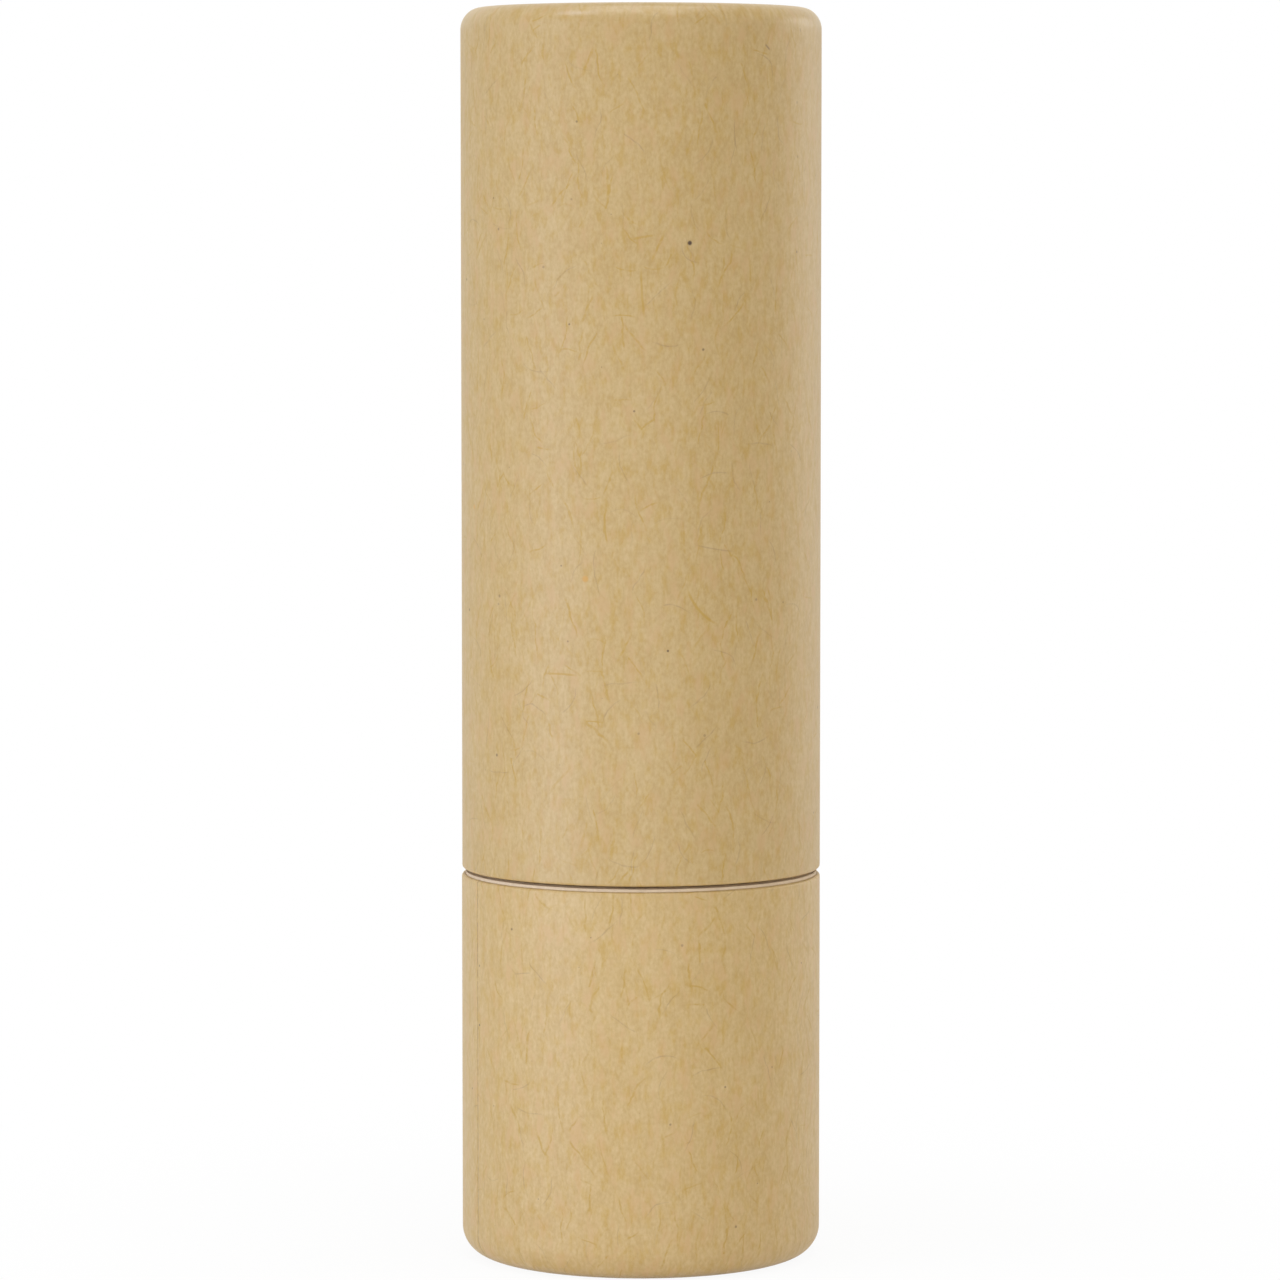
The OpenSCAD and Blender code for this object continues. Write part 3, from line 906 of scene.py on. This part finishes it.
class BALMSTICK_OT_board(bpy.types.Operator):
    """Builds the wound board tubes of the cap and the base"""
    bl_idname = "balmstick.board"
    bl_label = "Board Tubes"

    def execute(self, context):
        s = context.scene.balm_stick_sizes
        cap = board_tube("cap_board", s, s.cap_rim, s.cap_round, s.cap_recess,
                         s.cap_top - s.cap_mouth, s.cap_top, s.cap_lap)
        place_piece(cap, "cap", "board", "cap_tube")
        base = board_tube("base_board", s, s.base_rim, s.base_round, s.base_recess,
                          s.base_mouth, 0.0, s.base_lap)
        place_piece(base, "base", "board", "base_tube")
        return {"FINISHED"}


class BALMSTICK_OT_end_faces(bpy.types.Operator):
    """Lays the paper faces in both ends"""
    bl_idname = "balmstick.end_faces"
    bl_label = "End Faces"

    def execute(self, context):
        s = context.scene.balm_stick_sizes
        cap = end_face("cap_end_face", reach("cap_end_paper") - SKIN_GAP, s.radius - s.cap_rim,
                       high("cap_end_paper"), low("cap_end_paper") + SKIN_GAP, 1)
        place_piece(cap, "cap", "kraft_paper", "cap_end_paper")
        base = end_face("base_end_face", reach("base_end_paper") - SKIN_GAP,
                        s.radius - s.base_rim,
                        low("base_end_paper"), high("base_end_paper") - SKIN_GAP, -1)
        place_piece(base, "base", "kraft_paper", "base_end_paper")
        return {"FINISHED"}


class BALMSTICK_OT_neck(bpy.types.Operator):
    """Builds the neck that the cap closes over"""
    bl_idname = "balmstick.neck"
    bl_label = "Neck"

    def execute(self, context):
        s = context.scene.balm_stick_sizes
        neck = neck_tube("neck", s, low("sleeve"), high("sleeve"), reach("sleeve"), s.base_mouth)
        place_piece(neck, "sleeve", "neck_plastic", "sleeve")
        return {"FINISHED"}


class BALMSTICK_OT_grip(bpy.types.Operator):
    """Builds the ribbed grip inside the cap"""
    bl_idname = "balmstick.grip"
    bl_label = "Cap Grip"

    def execute(self, context):
        s = context.scene.balm_stick_sizes
        grip = grip_sleeve("cap_grip", s, reach("cap_liner"), low("cap_liner"), high("cap_liner"))
        place_piece(grip, "cap", "inner_plastic", "cap_liner")
        return {"FINISHED"}


class BALMSTICK_OT_balm(bpy.types.Operator):
    """Builds the balm"""
    bl_idname = "balmstick.balm"
    bl_label = "Balm"

    def execute(self, context):
        s = context.scene.balm_stick_sizes
        balm = balm_bullet("balm", reach("balm_stick"), low("balm_stick"), high("balm_stick"),
                           s.balm_dome)
        place_piece(balm, "carrier", "balm_wax", "balm_stick")
        return {"FINISHED"}


class BALMSTICK_OT_frame_finishes(bpy.types.Operator):
    """Gives the remaining CAD nodes their finishes"""
    bl_idname = "balmstick.frame_finishes"
    bl_label = "Frame Finishes"

    def execute(self, context):
        for row in frame["record"]["subparts"]:
            node = frame["nodes"][row["node"]]
            if node.hide_render:
                continue
            for holder in node.material_slots:
                holder.material = finish_named(row["material_slot"])
        return {"FINISHED"}


COOL = (0.90, 0.99, 1.25)
PLAIN = (1.0, 1.0, 1.0)
WARM = (1.0, 0.84, 0.50)
LAMPS = (
    # name, azimuth from the front in degrees with the right positive, elevation, distance,
    # width, height, power, colour
    ("left_softbox", -62.0, 5.0, 0.42, 0.22, 0.34, 0.23, COOL),
    ("right_softbox", 124.0, 4.0, 0.42, 0.22, 0.34, 0.33, PLAIN),
    ("right_fill", 62.0, 20.0, 0.42, 0.20, 0.30, 0.05, WARM),
    ("left_spill", -52.0, -9.0, 0.14, 0.06, 0.02, 0.032, COOL),
    ("front_spill", 5.0, -9.0, 0.14, 0.06, 0.02, 0.020, PLAIN),
    ("left_high", -60.0, 57.0, 0.42, 0.10, 0.10, 0.18, COOL),
    ("front_high", 16.0, 57.0, 0.42, 0.10, 0.10, 0.08, PLAIN),
    ("top_panel", 0.0, 85.0, 0.42, 0.30, 0.30, 0.60, PLAIN),
)
LAMP_AIM = 0.035           # height that the lamps point at
WORLD_LIGHT = 0.54
WORLD_TINT = (1.0, 0.985, 0.93)
FLOOR_HALF = 3.0           # half the width of the floor
FLOOR_DROP = 0.01 * MM     # how far the floor lies under the foot
SHADOW_SHARE = 0.07        # share of the floor that takes the shadow beside the stick
SHADOW_FULL = 11.0         # millimetres from the axis at which this share starts to fall
SHADOW_END = 60.0          # millimetres from the axis at which it has fallen to nothing


class BALMSTICK_OT_stage(bpy.types.Operator):
    """Sets the floor, the white surroundings, the lamps and the camera"""
    bl_idname = "balmstick.stage"
    bl_label = "Stage"

    def execute(self, context):
        scene = context.scene
        scene.view_settings.view_transform = "Standard"
        self.add_floor(scene)
        self.add_world(scene)
        for lamp in LAMPS:
            self.add_lamp(scene, *lamp)
        self.add_camera(scene)
        return {"FINISHED"}

    def add_floor(self, scene):
        """A large flat sheet just under the rim. The camera and reflections see it white, but for
        a faint shadow from the plain white share that it keeps near the stick."""
        mesh = bpy.data.meshes.new("floor")
        corners = [(x * FLOOR_HALF, y * FLOOR_HALF, -FLOOR_DROP)
                   for x, y in ((-1, -1), (1, -1), (1, 1), (-1, 1))]
        mesh.from_pydata(corners, [], [(0, 1, 2, 3)])
        floor = bpy.data.objects.new("floor", mesh)
        scene.collection.objects.link(floor)
        mesh.materials.append(bpy.data.materials.new("finish_floor_white"))
        f = Finish(mesh.materials[0])
        path = f.add("ShaderNodeLightPath", {})
        seen = f.maths("MAXIMUM", path, path.other("Is Glossy Ray"))
        seen = f.maths("MAXIMUM", seen, path.other("Is Transmission Ray"))
        away = f.vector("LENGTH", f.solid(), output=1)
        near = f.step(away, SHADOW_END, SHADOW_FULL)
        plain = f.add("ShaderNodeBsdfDiffuse", {"Color": (0.9, 0.9, 0.9, 1.0)})
        white = f.add("ShaderNodeEmission", {"Color": (1.0, 1.0, 1.0, 1.0)})
        shaded = f.add("ShaderNodeMixShader",
                       {0: seen * (1.0 - near * SHADOW_SHARE), 1: plain, 2: white})
        f.add("ShaderNodeOutputMaterial", {"Surface": shaded})

    def add_world(self, scene):
        """White to the camera, reflections and clear pieces, and a plain light for the rest."""
        scene.world = bpy.data.worlds.new("white_room")
        f = Finish(scene.world)
        path = f.add("ShaderNodeLightPath", {})
        level = WORLD_LIGHT
        for ray in ("Is Camera Ray", "Is Glossy Ray", "Is Transmission Ray"):
            level = f.maths("MAXIMUM", path.other(ray), level)
        tint = f.mix(path, WORLD_TINT, PLAIN)
        glow = f.add("ShaderNodeBackground", {"Color": tint, "Strength": level})
        f.add("ShaderNodeOutputWorld", {"Surface": glow})

    def add_lamp(self, scene, name, azimuth, elevation, distance, width, height, power, tint):
        """A rectangular lamp at an angle round the stick, turned to the stick's middle."""
        data = bpy.data.lights.new(name, "AREA")
        data.shape = "RECTANGLE"
        data.size = width
        data.size_y = height
        data.energy = power
        data.color = tint
        lamp = bpy.data.objects.new(name, data)
        a, e = math.radians(azimuth), math.radians(elevation)
        lamp.location = (distance * math.sin(a) * math.cos(e),
                         -distance * math.cos(a) * math.cos(e),
                         LAMP_AIM + distance * math.sin(e))
        lamp.rotation_euler = (math.pi / 2 - e, 0.0, a)
        lamp.visible_camera = False
        scene.collection.objects.link(lamp)

    def add_camera(self, scene):
        """A long lens in front, a little above the middle and tilted slightly down."""
        data = bpy.data.cameras.new("camera")
        data.lens = LENS
        data.sensor_width = SENSOR
        data.clip_start = 0.01
        camera = bpy.data.objects.new("camera", data)
        camera.location = CAMERA_AT
        camera.rotation_euler = (math.pi / 2 - CAMERA_DOWN, 0.0, 0.0)
        scene.collection.objects.link(camera)
        scene.camera = camera


OPERATORS = (
    BALMSTICK_OT_paper,
    BALMSTICK_OT_board,
    BALMSTICK_OT_end_faces,
    BALMSTICK_OT_neck,
    BALMSTICK_OT_grip,
    BALMSTICK_OT_balm,
    BALMSTICK_OT_frame_finishes,
    BALMSTICK_OT_stage,
)


class BALMSTICK_PT_panel(bpy.types.Panel):
    """Lists the pieces and their sizes and colours"""
    bl_idname = "BALMSTICK_PT_panel"
    bl_label = "Balm Stick"
    bl_space_type = "VIEW_3D"
    bl_region_type = "UI"
    bl_category = "Balm Stick"

    def draw(self, context):
        column = self.layout.column(align=True)
        for operator in OPERATORS:
            column.operator(operator.bl_idname)
        for group in (context.scene.balm_stick_sizes, context.scene.balm_stick_colours):
            box = self.layout.box()
            for key in group.__annotations__:
                box.prop(group, key)


CLASSES = (BalmStickSizes, BalmStickColours, *OPERATORS, BALMSTICK_PT_panel)


def register():
    for item in CLASSES:
        bpy.utils.register_class(item)
    bpy.types.Scene.balm_stick_sizes = bpy.props.PointerProperty(type=BalmStickSizes)
    bpy.types.Scene.balm_stick_colours = bpy.props.PointerProperty(type=BalmStickColours)


def unregister():
    del bpy.types.Scene.balm_stick_colours
    del bpy.types.Scene.balm_stick_sizes
    for item in reversed(CLASSES):
        bpy.utils.unregister_class(item)


def main():
    """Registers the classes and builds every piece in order."""
    register()
    for operator in OPERATORS:
        group, call = operator.bl_idname.split(".")
        getattr(getattr(bpy.ops, group), call)()


if __name__ == "__main__":
    main()
